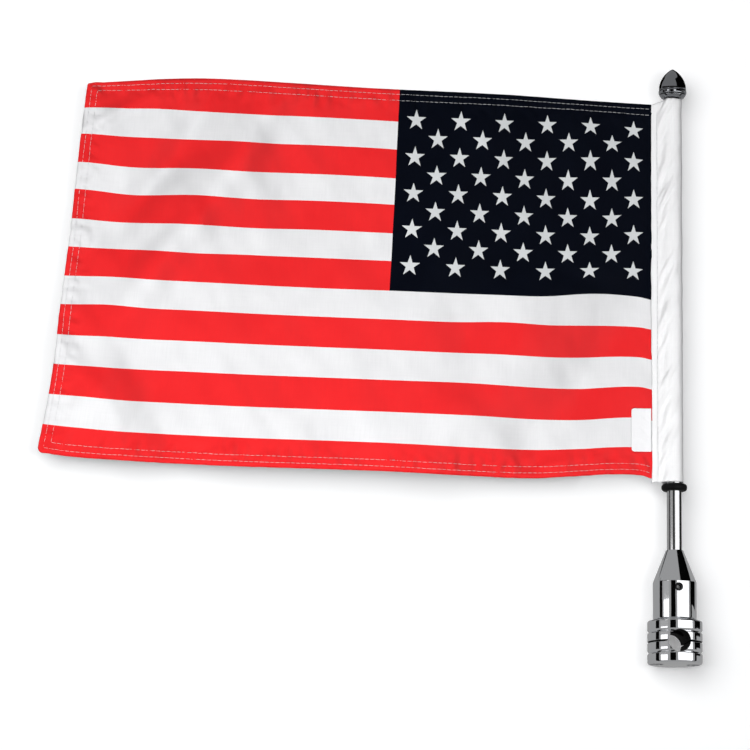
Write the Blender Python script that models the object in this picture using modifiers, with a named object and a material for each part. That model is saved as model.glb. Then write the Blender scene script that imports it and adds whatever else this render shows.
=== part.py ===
"""A flag on a steel pole, held by a chrome clamp that grips a round luggage rack tube.

The origin is the centre of the clamp's bore. The rack tube runs along Y, the pole stands up along +Z, and the
flag flies towards -X. Everything is in metres.
"""

import math

import bmesh
import bpy
from mathutils import Vector

GAP = 0.0003  # clearance between pieces that touch
SWING = 0.0010  # clearance where one piece turns past another
THREAD_CHAMFER = 0.0005  # at the ends of screws, stud and pole

# The split clamp, a short cylinder cut in two at the rack tube's axis
TUBE_RADIUS = 0.00715
CLAMP_RADIUS = 0.0175
CLAMP_HALF_HEIGHT = 0.0138
CLAMP_SPLIT = 0.0010
CLAMP_EDGE = 0.0012
GROOVE_HEIGHT = 0.0066  # of the ring cut into each half, from the split
GROOVE_HALF_WIDTH = 0.0012
GROOVE_DEPTH = 0.0010

# The two cap screws under the clamp, 10-32 by 5/8 inch
SCREW_RADIUS = 0.00240
SCREW_LENGTH = 0.0159
SCREW_HEAD_RADIUS = 0.0039
SCREW_HEAD_HEIGHT = 0.0048
SCREW_HEX = 0.0040
SCREW_HEX_DEPTH = 0.0024
SCREW_RECESS = 0.0002  # of the head in its counterbore
SCREW_RUNOUT = 0.0015  # of the tapped hole past the screw's tip

# The countersunk bolt that holds the socket on the clamp
BOLT_RADIUS = 0.0030
BOLT_HEAD_RADIUS = 0.00525
BOLT_RIM = 0.0004
BOLT_HEX = 0.0040
BOLT_HEX_DEPTH = 0.0018
BOLT_RECESS = 0.0012  # of the head above the bore's crown
BOLT_CLEAR = 0.00045  # in the countersink
BOLT_SHY = 0.0009  # of the socket's floor, at the bolt's tip

# The socket, a cylinder under a cone
SOCKET_RADIUS = 0.01385
SOCKET_CYLINDER = 0.0243
SOCKET_CONE = 0.0207
SOCKET_LIP = 0.00055  # wall left at the cone's mouth
SOCKET_FLOOR = 0.0096  # under the pole

# The socket's set screw, 10-32 by 5/16 inch
SET_RADIUS = 0.00240
SET_LENGTH = 0.0079
SET_HEX = 0.0024
SET_HEX_DEPTH = 0.0028
SET_DROP = 0.0040  # of its axis below the socket's shoulder

# The pole, 3/8 inch thick. It reaches from the socket's floor to just above the sleeve, about 13 inches
POLE_RADIUS = 0.0047625
POLE_BARE = 0.0382  # from the socket's mouth to the rubber ring
POLE_TAP_DEPTH = 0.0115

# The rubber ring under the flag
RING_RADIUS = 0.0083
RING_HEIGHT = 0.0047

# The finial, its washer and its 1/4-20 stud
FINIAL_RADIUS = 0.0088
FINIAL_HEIGHT = 0.0170
FINIAL_POINT = 1.56  # exponent of the ogive: 1 is an ellipse, 2 a parabola
BEAD_RADIUS = 0.0092
BEAD_HEIGHT = 0.0027
BEAD_GROOVE = 0.0004
WASHER_RADIUS = 0.0087
WASHER_HEIGHT = 0.0024
STUD_RADIUS = 0.003175
STUD_LENGTH = 0.0190
STUD_ENGAGEMENT = 0.0105

# The flag, its pole sleeve and its blank tag
SLEEVE_WALL = 0.0008
SLEEVE_EASE = 0.00035  # between the pole and the sleeve
SLEEVE_TAIL = 0.0143  # from the pole's axis to the seam
SLEEVE_TAIL_HALF = 0.0011
SLEEVE_ABOVE = 0.0038  # how far the sleeve passes the flag's upper edge at the pole
SLEEVE_BELOW = 0.0024
HOIST = 0.2444
FLY_TOP = 0.3654
FLY_BOTTOM = 0.3900
FLY_RISE = 0.0065  # of the lower fly corner above the hoist's foot
CREST = 0.0042  # how far the upper edge swings up between its corners
CLOTH = 0.0006
BILLOW = 0.0080
RIPPLE = 0.0045
RIPPLE_COUNT = 4.2
TAG_WIDTH = 0.0127
TAG_HEIGHT = 0.0280
TAG_FOOT = 0.0170  # above the flag's lower edge
TAG_THICKNESS = 0.0005

STEPS = 48  # sides of a turned piece
SLIM_STEPS = 36  # sides of a slimmer one
SCREW_STEPS = 24  # sides of a screw
FILLET_STEPS = 3
SHARP = math.radians(32)

CHROME = ((0.78, 0.79, 0.81), 0.06, 1.0)
DARK_CHROME = ((0.36, 0.37, 0.39), 0.08, 1.0)
STAINLESS = ((0.66, 0.66, 0.67), 0.22, 1.0)
SCREW_STEEL = ((0.42, 0.42, 0.43), 0.30, 1.0)
RUBBER = ((0.012, 0.012, 0.013), 0.65, 0.0)
RED_CLOTH = ((0.76, 0.025, 0.03), 0.85, 0.0)
WHITE_CLOTH = ((0.86, 0.86, 0.87), 0.85, 0.0)


def collection(name):
    made = bpy.data.collections.new(name)
    bpy.context.scene.collection.children.link(made)
    return made


def principled(name, colour, roughness, metallic):
    made = bpy.data.materials.new(name)
    made.use_nodes = True
    made.diffuse_color = (*colour, 1.0)
    shader = made.node_tree.nodes["Principled BSDF"]
    shader.inputs["Base Color"].default_value = (*colour, 1.0)
    shader.inputs["Roughness"].default_value = roughness
    shader.inputs["Metallic"].default_value = metallic
    return made


def place(name, mesh, location, finish):
    """Adds a part to the scene, with a material of its own, or a cutter if it has no finish."""
    made = bpy.data.objects.new(name, mesh)
    made.location = location
    if finish:
        mesh.materials.append(principled(name, *finish))
        parts.objects.link(made)
    else:
        made.hide_render = True
        made.display_type = "WIRE"
        cutters.objects.link(made)
    return made


def rounded(corners):
    """The points of a profile of (radius, height, fillet) corners, with each fillet as a short arc."""
    points = []
    for i, (r, z, fillet) in enumerate(corners):
        corner = Vector((r, z))
        if not fillet:
            points.append(corner)
            continue
        before = (Vector(corners[i - 1][:2]) - corner).normalized()
        after = (Vector(corners[(i + 1) % len(corners)][:2]) - corner).normalized()
        half = before.angle(after) / 2
        centre = corner + (before + after).normalized() * fillet / math.sin(half)
        start, end = (corner + side * fillet / math.tan(half) - centre for side in (before, after))
        first = math.atan2(start.y, start.x)
        sweep = math.remainder(math.atan2(end.y, end.x) - first, math.tau)
        for k in range(FILLET_STEPS + 1):
            angle = first + sweep * k / FILLET_STEPS
            points.append(centre + fillet * Vector((math.cos(angle), math.sin(angle))))
    return points


def turned(name, corners, location=(0, 0, 0), finish=None, ring=False, steps=STEPS):
    """A piece turned about its own Z axis. Its profile runs down the outer side, and a ring's is closed."""
    points = rounded(corners)
    edges = [(i, i + 1) for i in range(len(points) - 1)]
    if ring:
        edges.append((len(points) - 1, 0))
    mesh = bpy.data.meshes.new(name)
    mesh.from_pydata([(p.x, 0, p.y) for p in points], edges, [])
    made = place(name, mesh, location, finish)
    screw = made.modifiers.new("turn", "SCREW")
    screw.steps = screw.render_steps = steps
    screw.use_merge_vertices = True
    screw.merge_threshold = 0.00001
    return made


def bar(name, radius, foot, top, location=(0, 0, 0), sides=SCREW_STEPS):
    """A straight cutter along its own Z axis, round or with a few flat sides."""
    shape = bmesh.new()
    bmesh.ops.create_cone(
        shape, cap_ends=True, segments=sides, radius1=radius, radius2=radius, depth=top - foot
    )
    bmesh.ops.translate(shape, verts=shape.verts, vec=(0, 0, (foot + top) / 2))
    mesh = bpy.data.meshes.new(name)
    shape.to_mesh(mesh)
    shape.free()
    return place(name, mesh, location, None)


def hexagon(name, across_flats, foot, top, location):
    return bar(name, across_flats / math.sqrt(3), foot, top, location, sides=6)


def cut(piece, *tools):
    for tool in tools:
        boolean = piece.modifiers.new(tool.name, "BOOLEAN")
        boolean.operation = "DIFFERENCE"
        boolean.object = tool


def settle(piece):
    """Applies a piece's modifiers and shades it smooth between its sharp edges."""
    evaluated = piece.evaluated_get(bpy.context.evaluated_depsgraph_get())
    mesh = bpy.data.meshes.new_from_object(evaluated)
    piece.modifiers.clear()
    piece.data = mesh
    mesh.shade_smooth()
    mesh.set_sharp_from_angle(angle=SHARP)


def clamp_half(name, side):
    """One half of the clamp. Side is 1 above the split and -1 below it."""
    groove = CLAMP_RADIUS - GROOVE_DEPTH
    corners = [
        (0, CLAMP_HALF_HEIGHT, 0),
        (CLAMP_RADIUS, CLAMP_HALF_HEIGHT, CLAMP_EDGE),
        (CLAMP_RADIUS, GROOVE_HEIGHT + GROOVE_HALF_WIDTH, 0),
        (groove, GROOVE_HEIGHT, 0),
        (CLAMP_RADIUS, GROOVE_HEIGHT - GROOVE_HALF_WIDTH, 0),
        (CLAMP_RADIUS, CLAMP_SPLIT / 2, GAP),
        (0, CLAMP_SPLIT / 2, 0),
    ]
    if side < 0:
        corners = [(r, -z, fillet) for r, z, fillet in reversed(corners)]
    return turned(name, corners, finish=CHROME)


def clamp():
    """The two halves on the rack tube, drawn together by the two screws beside it."""
    head = clamp_half("clamp_head", 1)
    cap = clamp_half("clamp_cap", -1)
    bore = bar("bore_cutter", TUBE_RADIUS, -2 * CLAMP_RADIUS, 2 * CLAMP_RADIUS, sides=STEPS)
    bore.rotation_euler.x = math.pi / 2
    cut(head, bore)
    cut(cap, bore)

    screw_x = (TUBE_RADIUS + CLAMP_RADIUS - GROOVE_DEPTH) / 2
    hole = SCREW_RADIUS + GAP
    counterbore = SCREW_HEAD_RADIUS + GAP
    seat = -CLAMP_HALF_HEIGHT + SCREW_RECESS + SCREW_HEAD_HEIGHT + GAP
    under_head = seat - GAP
    tap_end = under_head + SCREW_LENGTH + SCREW_RUNOUT
    for word, x in (("left", -screw_x), ("right", screw_x)):
        drill = bar(f"{word}_drill", hole, seat - GAP, tap_end, (x, 0, 0))
        pocket = bar(f"{word}_pocket", counterbore, -2 * CLAMP_HALF_HEIGHT, seat, (x, 0, 0))
        cut(head, drill)
        cut(cap, pocket, drill)
        cap_screw(f"clamp_screw_{word}", (x, 0, under_head))
    return head


def cap_screw(name, location):
    """A socket head screw that points up. Its origin is under its head, on its axis."""
    screw = turned(
        name,
        [
            (0, SCREW_LENGTH, 0),
            (SCREW_RADIUS - THREAD_CHAMFER, SCREW_LENGTH, 0),
            (SCREW_RADIUS, SCREW_LENGTH - THREAD_CHAMFER, 0),
            (SCREW_RADIUS, 0, 0),
            (SCREW_HEAD_RADIUS, 0, 0),
            (SCREW_HEAD_RADIUS, -SCREW_HEAD_HEIGHT, THREAD_CHAMFER),
            (0, -SCREW_HEAD_HEIGHT, 0),
        ],
        location,
        SCREW_STEEL,
        steps=SCREW_STEPS,
    )
    key_end = SCREW_HEX_DEPTH - SCREW_HEAD_HEIGHT
    cut(screw, hexagon(f"{name}_key", SCREW_HEX, -2 * SCREW_HEAD_HEIGHT, key_end, location))


def socket(head):
    """The cone on the clamp that takes the pole, the bolt that holds it and the screw that grips the pole.

    Returns the heights of the pole's foot and of the cone's mouth.
    """
    foot = CLAMP_HALF_HEIGHT + GAP
    mouth = SOCKET_CYLINDER + SOCKET_CONE
    pole_hole = POLE_RADIUS + GAP
    body = turned(
        "pole_socket",
        [
            (pole_hole + SOCKET_LIP, mouth, 0),
            (SOCKET_RADIUS, SOCKET_CYLINDER, CLAMP_EDGE / 2),
            (SOCKET_RADIUS, 0, CLAMP_EDGE),
            (BOLT_RADIUS + GAP, 0, 0),
            (BOLT_RADIUS + GAP, SOCKET_FLOOR, 0),
            (pole_hole, SOCKET_FLOOR, 0),
            (pole_hole, mouth, 0),
        ],
        (0, 0, foot),
        CHROME,
        ring=True,
    )

    bolt_z = TUBE_RADIUS + BOLT_RECESS
    bolt_length = foot + SOCKET_FLOOR - BOLT_SHY - bolt_z
    cone_top = BOLT_RIM + BOLT_HEAD_RADIUS - BOLT_RADIUS
    bolt = turned(
        "socket_bolt",
        [
            (0, bolt_length, 0),
            (BOLT_RADIUS - THREAD_CHAMFER, bolt_length, 0),
            (BOLT_RADIUS, bolt_length - THREAD_CHAMFER, 0),
            (BOLT_RADIUS, cone_top, 0),
            (BOLT_HEAD_RADIUS, BOLT_RIM, 0),
            (BOLT_HEAD_RADIUS, 0, 0),
            (0, 0, 0),
        ],
        (0, 0, bolt_z),
        SCREW_STEEL,
        steps=SCREW_STEPS,
    )
    cut(bolt, hexagon("bolt_key", BOLT_HEX, -BOLT_HEX_DEPTH, BOLT_HEX_DEPTH, bolt.location))
    countersink = turned(
        "countersink",
        [
            (0, 2 * CLAMP_HALF_HEIGHT, 0),
            (BOLT_RADIUS + BOLT_CLEAR, 2 * CLAMP_HALF_HEIGHT, 0),
            (BOLT_RADIUS + BOLT_CLEAR, cone_top, 0),
            (BOLT_HEAD_RADIUS + BOLT_CLEAR, BOLT_RIM, 0),
            (BOLT_HEAD_RADIUS + BOLT_CLEAR, -bolt_z, 0),
            (0, -bolt_z, 0),
        ],
        bolt.location,
        steps=SCREW_STEPS,
    )
    cut(head, countersink)

    tip = (0, -POLE_RADIUS - GAP, foot + SOCKET_CYLINDER - SET_DROP)
    grip = turned(
        "set_screw",
        [
            (0, SET_LENGTH, 0),
            (SET_RADIUS, SET_LENGTH, THREAD_CHAMFER / 2),
            (SET_RADIUS, THREAD_CHAMFER, 0),
            (SET_RADIUS - THREAD_CHAMFER, 0, 0),
            (0, 0, 0),
        ],
        tip,
        SCREW_STEEL,
        steps=SCREW_STEPS,
    )
    key = hexagon("set_key", SET_HEX, SET_LENGTH - SET_HEX_DEPTH, 2 * SET_LENGTH, tip)
    drill = bar("set_drill", SET_RADIUS + GAP, 0, 2 * SOCKET_RADIUS, (0, 0, tip[2]))
    for tool in (grip, key, drill):
        tool.rotation_euler.x = math.pi / 2  # their own +Z points along -Y, out of the socket
    cut(grip, key)
    cut(body, drill)
    return foot + SOCKET_FLOOR + GAP, foot + mouth


def pole(foot, length):
    """The pole, tapped at its top for the finial's stud."""
    tap = STUD_RADIUS + GAP
    turned(
        "pole",
        [
            (0, length - POLE_TAP_DEPTH, 0),
            (tap, length - POLE_TAP_DEPTH, 0),
            (tap, length, 0),
            (POLE_RADIUS, length, THREAD_CHAMFER),
            (POLE_RADIUS, 0, THREAD_CHAMFER),
            (0, 0, 0),
        ],
        (0, 0, foot),
        STAINLESS,
        steps=SLIM_STEPS,
    )


def rubber_ring(foot):
    """The ring that grips the pole and carries the flag."""
    inner = POLE_RADIUS + GAP
    turned(
        "rubber_ring",
        [
            (inner, RING_HEIGHT, 0),
            (RING_RADIUS - THREAD_CHAMFER, RING_HEIGHT, RING_HEIGHT / 3),
            (RING_RADIUS, 0, THREAD_CHAMFER),
            (inner, 0, 0),
        ],
        (0, 0, foot),
        RUBBER,
        ring=True,
        steps=SLIM_STEPS,
    )


def ogive(foot, top):
    """Profile corners of the finial's pointed dome, from its tip down to its widest ring."""
    count = 8
    for k in range(count + 1):
        angle = math.pi / 2 * k / count
        yield FINIAL_RADIUS * math.sin(angle) ** FINIAL_POINT, foot + (top - foot) * math.cos(angle), 0


def finial(pole_top):
    """The pointed finial, the rounded washer under it, and the stud from the finial into the pole."""
    bore = STUD_RADIUS + GAP
    turned(
        "finial_washer",
        [
            (bore, WASHER_HEIGHT, 0),
            (WASHER_RADIUS, WASHER_HEIGHT, WASHER_HEIGHT / 3),
            (WASHER_RADIUS, 0, WASHER_HEIGHT / 3),
            (bore, 0, 0),
        ],
        (0, 0, pole_top + GAP),
        DARK_CHROME,
        ring=True,
        steps=SLIM_STEPS,
    )
    foot = pole_top + GAP + WASHER_HEIGHT + GAP
    stud_foot = pole_top - STUD_ENGAGEMENT
    bore_end = stud_foot + STUD_LENGTH + GAP - foot
    turned(
        "finial",
        [
            *ogive(BEAD_HEIGHT + BEAD_GROOVE, FINIAL_HEIGHT),
            (FINIAL_RADIUS - BEAD_GROOVE, BEAD_HEIGHT + BEAD_GROOVE / 2, 0),
            (FINIAL_RADIUS - BEAD_GROOVE, BEAD_HEIGHT, 0),
            (BEAD_RADIUS, BEAD_HEIGHT, BEAD_HEIGHT / 3),
            (BEAD_RADIUS, 0, BEAD_HEIGHT / 3),
            (bore, 0, 0),
            (bore, bore_end, 0),
            (0, bore_end, 0),
        ],
        (0, 0, foot),
        DARK_CHROME,
    )
    turned(
        "finial_stud",
        [
            (0, STUD_LENGTH, 0),
            (STUD_RADIUS, STUD_LENGTH, THREAD_CHAMFER),
            (STUD_RADIUS, 0, THREAD_CHAMFER),
            (0, 0, 0),
        ],
        (0, 0, stud_foot),
        SCREW_STEEL,
        steps=SCREW_STEPS,
    )


def swell(u):
    """0 at the hoist, rising smoothly to 1 at the fly."""
    return u * u * (3 - 2 * u)


def hang(u, v):
    """A point of the cloth's middle, from its share u of the fly and v of the hoist, from the hoist's foot."""
    fly = FLY_BOTTOM + (FLY_TOP - FLY_BOTTOM) * v
    foot = FLY_RISE * u * u
    top = HOIST + CREST * math.sin(math.pi * swell(u))
    billow = -BILLOW * math.sin(math.pi * u) * (0.4 + 0.6 * v)
    ripple = RIPPLE * u * math.sin(math.tau * (RIPPLE_COUNT * u + 0.55 * v))
    return Vector((-fly * u, billow + ripple, foot + (top - foot) * v))


def cloth(name, columns, rows, shape, thickness, location, finish):
    """A thin piece: a grid over the unit square that shape bends, thickened to both sides."""
    sheet = bmesh.new()
    bmesh.ops.create_grid(sheet, x_segments=columns, y_segments=rows, size=0.5)
    for vert in sheet.verts:
        vert.co = shape(vert.co.x + 0.5, vert.co.y + 0.5)
    bmesh.ops.remove_doubles(sheet, verts=sheet.verts, dist=GAP / 10)
    bmesh.ops.recalc_face_normals(sheet, faces=sheet.faces)
    mesh = bpy.data.meshes.new(name)
    sheet.to_mesh(mesh)
    sheet.free()
    made = place(name, mesh, location, finish)
    solidify = made.modifiers.new("thickness", "SOLIDIFY")
    solidify.thickness = thickness
    solidify.offset = 0
    return made


def sleeve_outline(u):
    """The sleeve's section: round the pole, then two layers that close on the flag's hoist."""
    radius = POLE_RADIUS + SLEEVE_EASE + SLEEVE_WALL / 2
    end = Vector((SLEEVE_WALL / 2 - SLEEVE_TAIL, 0))
    wrap = math.radians(135)
    share = abs(2 * u - 1)  # 0 on the pole's far side, 1 at the seam
    side = -1 if u < 0.5 else 1
    bend = 0.65
    if share <= bend:
        angle = wrap * share / bend
        return Vector((radius * math.cos(angle), side * radius * math.sin(angle)))
    along = (share - bend) / (1 - bend)
    leave = Vector((radius * math.cos(wrap), radius * math.sin(wrap)))
    close = Vector((end.x, SLEEVE_TAIL_HALF - SLEEVE_WALL / 2))
    point = leave.lerp(close, min(1, along * 1.2))
    if share == 1:
        point = end
    return Vector((point.x, side * point.y))


def sleeve_point(u, v):
    """A point of the sleeve's middle surface, above the flag's lower edge."""
    section = sleeve_outline(u)
    slope = max(0, -section.x - POLE_RADIUS) / (SLEEVE_TAIL - POLE_RADIUS)
    foot = SLEEVE_BELOW * (slope - 1)
    top = HOIST + SLEEVE_ABOVE * (1 - slope)
    return Vector((section.x, section.y, foot + (top - foot) * v))


def flag(foot):
    """The flag on its sleeve, free to swing round the pole between the rubber ring and the finial."""
    hoist_x = -SLEEVE_TAIL - GAP
    cloth("flag_sleeve", 32, 1, sleeve_point, SLEEVE_WALL, (0, 0, foot), WHITE_CLOTH)
    cloth("flag_panel", 32, 14, hang, CLOTH, (hoist_x, 0, foot), RED_CLOTH)

    def tag_point(u, v):
        across = -TAG_WIDTH * u
        up = TAG_FOOT + TAG_HEIGHT * v
        behind = hang(-across / FLY_BOTTOM, up / HOIST)
        clear = (CLOTH + TAG_THICKNESS) / 2 + GAP
        return Vector((across, behind.y - clear, up))

    cloth("flag_tag", 4, 6, tag_point, TAG_THICKNESS, (hoist_x, 0, foot), WHITE_CLOTH)


for old in list(bpy.data.objects):
    bpy.data.objects.remove(old)
parts = collection("rack_clamp_flag")
cutters = collection("cutters")
pole_foot, socket_mouth = socket(clamp())
ring_foot = socket_mouth + POLE_BARE
flag_foot = ring_foot + RING_HEIGHT + SWING + SLEEVE_BELOW
pole_top = flag_foot + HOIST + SLEEVE_ABOVE + SWING - GAP
pole(pole_foot, pole_top - pole_foot)
rubber_ring(ring_foot)
finial(pole_top)
flag(flag_foot)
for part in parts.objects:
    settle(part)
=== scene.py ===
import math

import bmesh
import bpy
from mathutils import Matrix, Vector, noise
from mathutils.geometry import delaunay_2d_cdt


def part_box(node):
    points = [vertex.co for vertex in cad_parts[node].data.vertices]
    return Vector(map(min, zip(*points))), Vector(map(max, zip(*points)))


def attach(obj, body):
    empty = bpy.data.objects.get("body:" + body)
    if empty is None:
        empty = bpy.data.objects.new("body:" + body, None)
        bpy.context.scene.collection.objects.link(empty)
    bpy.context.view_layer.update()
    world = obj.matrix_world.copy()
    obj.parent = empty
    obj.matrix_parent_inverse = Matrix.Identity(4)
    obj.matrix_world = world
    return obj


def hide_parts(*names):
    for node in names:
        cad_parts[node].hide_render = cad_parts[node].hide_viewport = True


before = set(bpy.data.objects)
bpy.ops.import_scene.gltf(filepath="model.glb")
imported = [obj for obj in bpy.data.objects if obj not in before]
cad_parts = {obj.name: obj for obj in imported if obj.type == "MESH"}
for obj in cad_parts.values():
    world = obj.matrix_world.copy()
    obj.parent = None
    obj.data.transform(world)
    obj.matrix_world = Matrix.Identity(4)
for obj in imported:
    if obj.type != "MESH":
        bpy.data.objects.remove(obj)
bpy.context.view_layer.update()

MM = 0.001

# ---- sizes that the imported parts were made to, in metres ----
GAP = 0.0003  # between pieces that touch
CLAMP_HALF = 0.0138
CLAMP_SPLIT = 0.0010
CLAMP_EDGE = 0.0012
CLAMP_FOOT_EDGE = 0.0016
GROOVE_HEIGHT = 0.0066
GROOVE_HALF = 0.0012
GROOVE_DEPTH = 0.0010
GROOVE_EDGE = 0.0002
TUBE_RADIUS = 0.00715
SCREW_SEAT = -0.0088  # the underside of the cap screws' heads
SCREW_HOLE_RADIUS = 0.0027
SCREW_RUNOUT = 0.0012  # of a hole past the screw's tip
BOLT_HOLE_RADIUS = 0.00345
BOLT_HOLE_FOOT = 0.004
BOLT_CLEAR = 0.00045
BOLT_SEAT_RISE = 0.0012
SOCKET_CYLINDER = 0.0243
SOCKET_LIP = 0.00055
SOCKET_LIP_EDGE = 0.0001
SOCKET_SHOULDER = 0.0016
SOCKET_FOOT_EDGE = 0.0017
SOCKET_TAP_RADIUS = 0.0033
SOCKET_FLOOR = 0.0096
POLE_RADIUS = 0.0047625
POLE_TAP_RADIUS = 0.003175 + GAP
POLE_TAP_DEPTH = 0.0115
POLE_CHAMFER = 0.0005
FINIAL_RADIUS = 0.0088
FINIAL_POINT = 1.56  # exponent of its outline: 1 is an ellipse, 2 a parabola
FINIAL_TAP_RADIUS = 0.0035
FINIAL_TAP_DEPTH = 0.0056
BEAD_RADIUS = 0.0092
BEAD_HEIGHT = 0.0027
BEAD_GROOVE = 0.0004
BEAD_GROOVE_EDGE = 0.00006
WASHER_TAPER = 0.0018
RING_FLAT = 0.0008  # the narrow flats above and below the rubber ring
FLY = 0.390
FLY_TOP = 0.3650
SLEEVE_WALL = 0.0008
SLEEVE_EASE = 0.00035
SLEEVE_ABOVE = 0.0038  # how far the sleeve passes the flag's upper edge at the pole

# ---- the flag laid flat, in millimetres from its upper hoist corner ----
STRIPES = (20.9, 18.1, 18.9, 17.3, 18.8, 17.8, 19.0, 18.8, 19.8, 19.4, 20.4, 19.7, 18.1)
CLOTH_LONG = 390.0
CLOTH_TALL = sum(STRIPES)
CANTON_LONG = 176.5
CANTON_TALL = sum(STRIPES[:7])
STAR_FIRST = (12.0, 19.2)
STAR_PITCH = (15.22, 11.9)  # half the distance between two stars of a row, and between rows
STAR_COLUMNS, STAR_ROWS = 11, 9
STAR_RADIUS = 7.0
HEM = 9.0
FLY_HEM = 14.0
STITCH_ROWS = (3.2, 7.2)
STITCH_PITCH = 3.3
UPPER_CORNER = 1.2  # radius of the fly's corners
LOWER_CORNER = 3.2
MESH_STEP = 1.9  # between the points of the cloth's mesh
MESH_CLEAR = 0.7  # the least room left between a loose point and a line
CLOTH = 0.35 * MM


# ---------------------------------------------------------------- finishes
UV_SPAN = 0.4  # metres of cloth to one unit of UV
BAND = math.pi / 10  # the stretch that gives a wave texture one band to a unit


class Finish:
    """A material as it is built: its shader, and the nodes that give it its detail."""

    def __init__(self, name, colour, roughness, metallic=0.0, **sockets):
        self.material = bpy.data.materials.new(name)
        self.material.use_nodes = True
        self.tree = self.material.node_tree
        self.shader = next(n for n in self.tree.nodes if n.type == "BSDF_PRINCIPLED")
        self.normal = None
        self.set("Base Color", (*colour, 1))
        self.set("Roughness", roughness)
        self.set("Metallic", metallic)
        for socket, value in sockets.items():
            self.set(socket.replace("_", " "), value)

    def set(self, socket, value):
        self.shader.inputs[socket].default_value = value

    def node(self, kind, inputs=(), **settings):
        made = self.tree.nodes.new(kind)
        for key, value in settings.items():
            setattr(made, key, value)
        for key, value in dict(inputs).items():
            if isinstance(value, bpy.types.NodeSocket):
                self.tree.links.new(value, made.inputs[key])
            else:
                made.inputs[key].default_value = value
        return made

    def place(self, stretch, source="Object"):
        """Coordinates on the piece, stretched."""
        coords = self.node("ShaderNodeTexCoord")
        return self.node(
            "ShaderNodeMapping", {"Vector": coords.outputs[source], "Scale": stretch}
        ).outputs["Vector"]

    def noise(self, stretch, low, high, detail=3.0, source="Object"):
        """A noise between two values, spread so that it reaches both."""
        made = self.node(
            "ShaderNodeTexNoise",
            {"Vector": self.place(stretch, source), "Scale": 1.0, "Detail": detail},
        )
        return self.ranged(made.outputs["Fac"], (0.3, 0.7), low, high)

    def wave(self, stretch, direction, source="UV"):
        """Even bands, such as one set of threads of a weave, from 0 to 1."""
        return self.node(
            "ShaderNodeTexWave",
            {"Vector": self.place(stretch, source), "Scale": 1.0},
            bands_direction=direction,
        ).outputs["Fac"]

    def ranged(self, value, span, low, high):
        """A value of the given span, brought to run from low to high."""
        spans = zip(("From Min", "From Max", "To Min", "To Max"), (*span, low, high))
        return self.node("ShaderNodeMapRange", {"Value": value, **dict(spans)}).outputs["Result"]

    def math(self, operation, first, second):
        return self.node(
            "ShaderNodeMath", {0: first, 1: second}, operation=operation
        ).outputs["Value"]

    def mixed(self, first, second, share):
        """Two values, the first of them with the given share."""
        return self.math(
            "ADD", self.math("MULTIPLY", first, share), self.math("MULTIPLY", second, 1 - share)
        )

    def tint(self, amount, first, second):
        """The base colour, mixed from two by an amount from 0 to 1."""
        mix = self.node("ShaderNodeMix", {"Factor": amount}, data_type="RGBA")
        for index, colour in ((6, first), (7, second)):
            mix.inputs[index].default_value = (*colour, 1)
        self.feed("Base Color", mix.outputs[2])

    def feed(self, socket, value):
        self.tree.links.new(value, self.shader.inputs[socket])

    def bump(self, height, distance, strength):
        """Relief, on top of any given before."""
        made = self.node(
            "ShaderNodeBump", {"Height": height, "Distance": distance, "Strength": strength}
        )
        if self.normal:
            self.tree.links.new(self.normal, made.inputs["Normal"])
        self.normal = made.outputs["Normal"]
        self.feed("Normal", self.normal)


def polished_metal(name, colour, roughness, haze):
    """Plated metal: clear reflections, with faint polishing marks, smears and dust."""
    made = Finish(name, colour, roughness, 1.0)
    smears = made.noise((90, 90, 60), roughness * 0.6, roughness + haze, 5.0)
    marks = made.noise((1500, 1500, 260), 0.0, 1.0, 2.0)
    made.feed("Roughness", made.math("ADD", smears, made.ranged(marks, (0.4, 1), 0, haze)))
    made.bump(made.noise((45, 45, 45), 0, 1, 2.0), 0.00002, 0.25)
    made.bump(marks, 0.000004, 0.25)
    return made.material


def brushed_steel(name, colour, roughness):
    """Drawn stainless rod: fine lines along its length."""
    made = Finish(name, colour, roughness, 1.0)
    lines = made.noise((3200, 3200, 14), 0, 1, 4.0)
    coarse = made.noise((900, 900, 9), 0, 1, 3.0)
    made.feed("Roughness", made.ranged(lines, (0, 1), roughness * 0.7, roughness * 1.5))
    made.tint(coarse, tuple(c * 0.92 for c in colour), colour)
    made.bump(lines, 0.000012, 0.35)
    made.bump(coarse, 0.00002, 0.2)
    return made.material


def machined_steel(name, colour, roughness, pitch=0.0):
    """Blackened or plain screw steel, with fine rings of the given pitch if it has one."""
    made = Finish(name, colour, roughness, 1.0)
    grain = made.noise((2200, 2200, 2200), 0, 1, 3.0)
    made.feed("Roughness", made.ranged(grain, (0, 1), roughness * 0.8, roughness * 1.35))
    made.tint(made.noise((400, 400, 400), 0, 1), tuple(c * 0.8 for c in colour), colour)
    made.bump(grain, 0.00001, 0.4)
    if pitch:
        rings = made.wave((0, 0, BAND / pitch), "Z", "Object")
        made.bump(rings, 0.0004, 0.9)
    return made.material


def dull(name, colour, fleck, rough, grain_at, fleck_at, relief, **sockets):
    """Rubber, or the painted shade of a hole or gap: dark and matt, flecked, with a fine grain."""
    made = Finish(name, colour, **sockets)
    grain = made.noise((grain_at,) * 3, 0, 1)
    made.feed("Roughness", made.ranged(grain, (0, 1), *rough))
    made.tint(made.noise((fleck_at,) * 3, 0, 1), *fleck)
    made.bump(grain, *relief)
    return made.material


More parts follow.
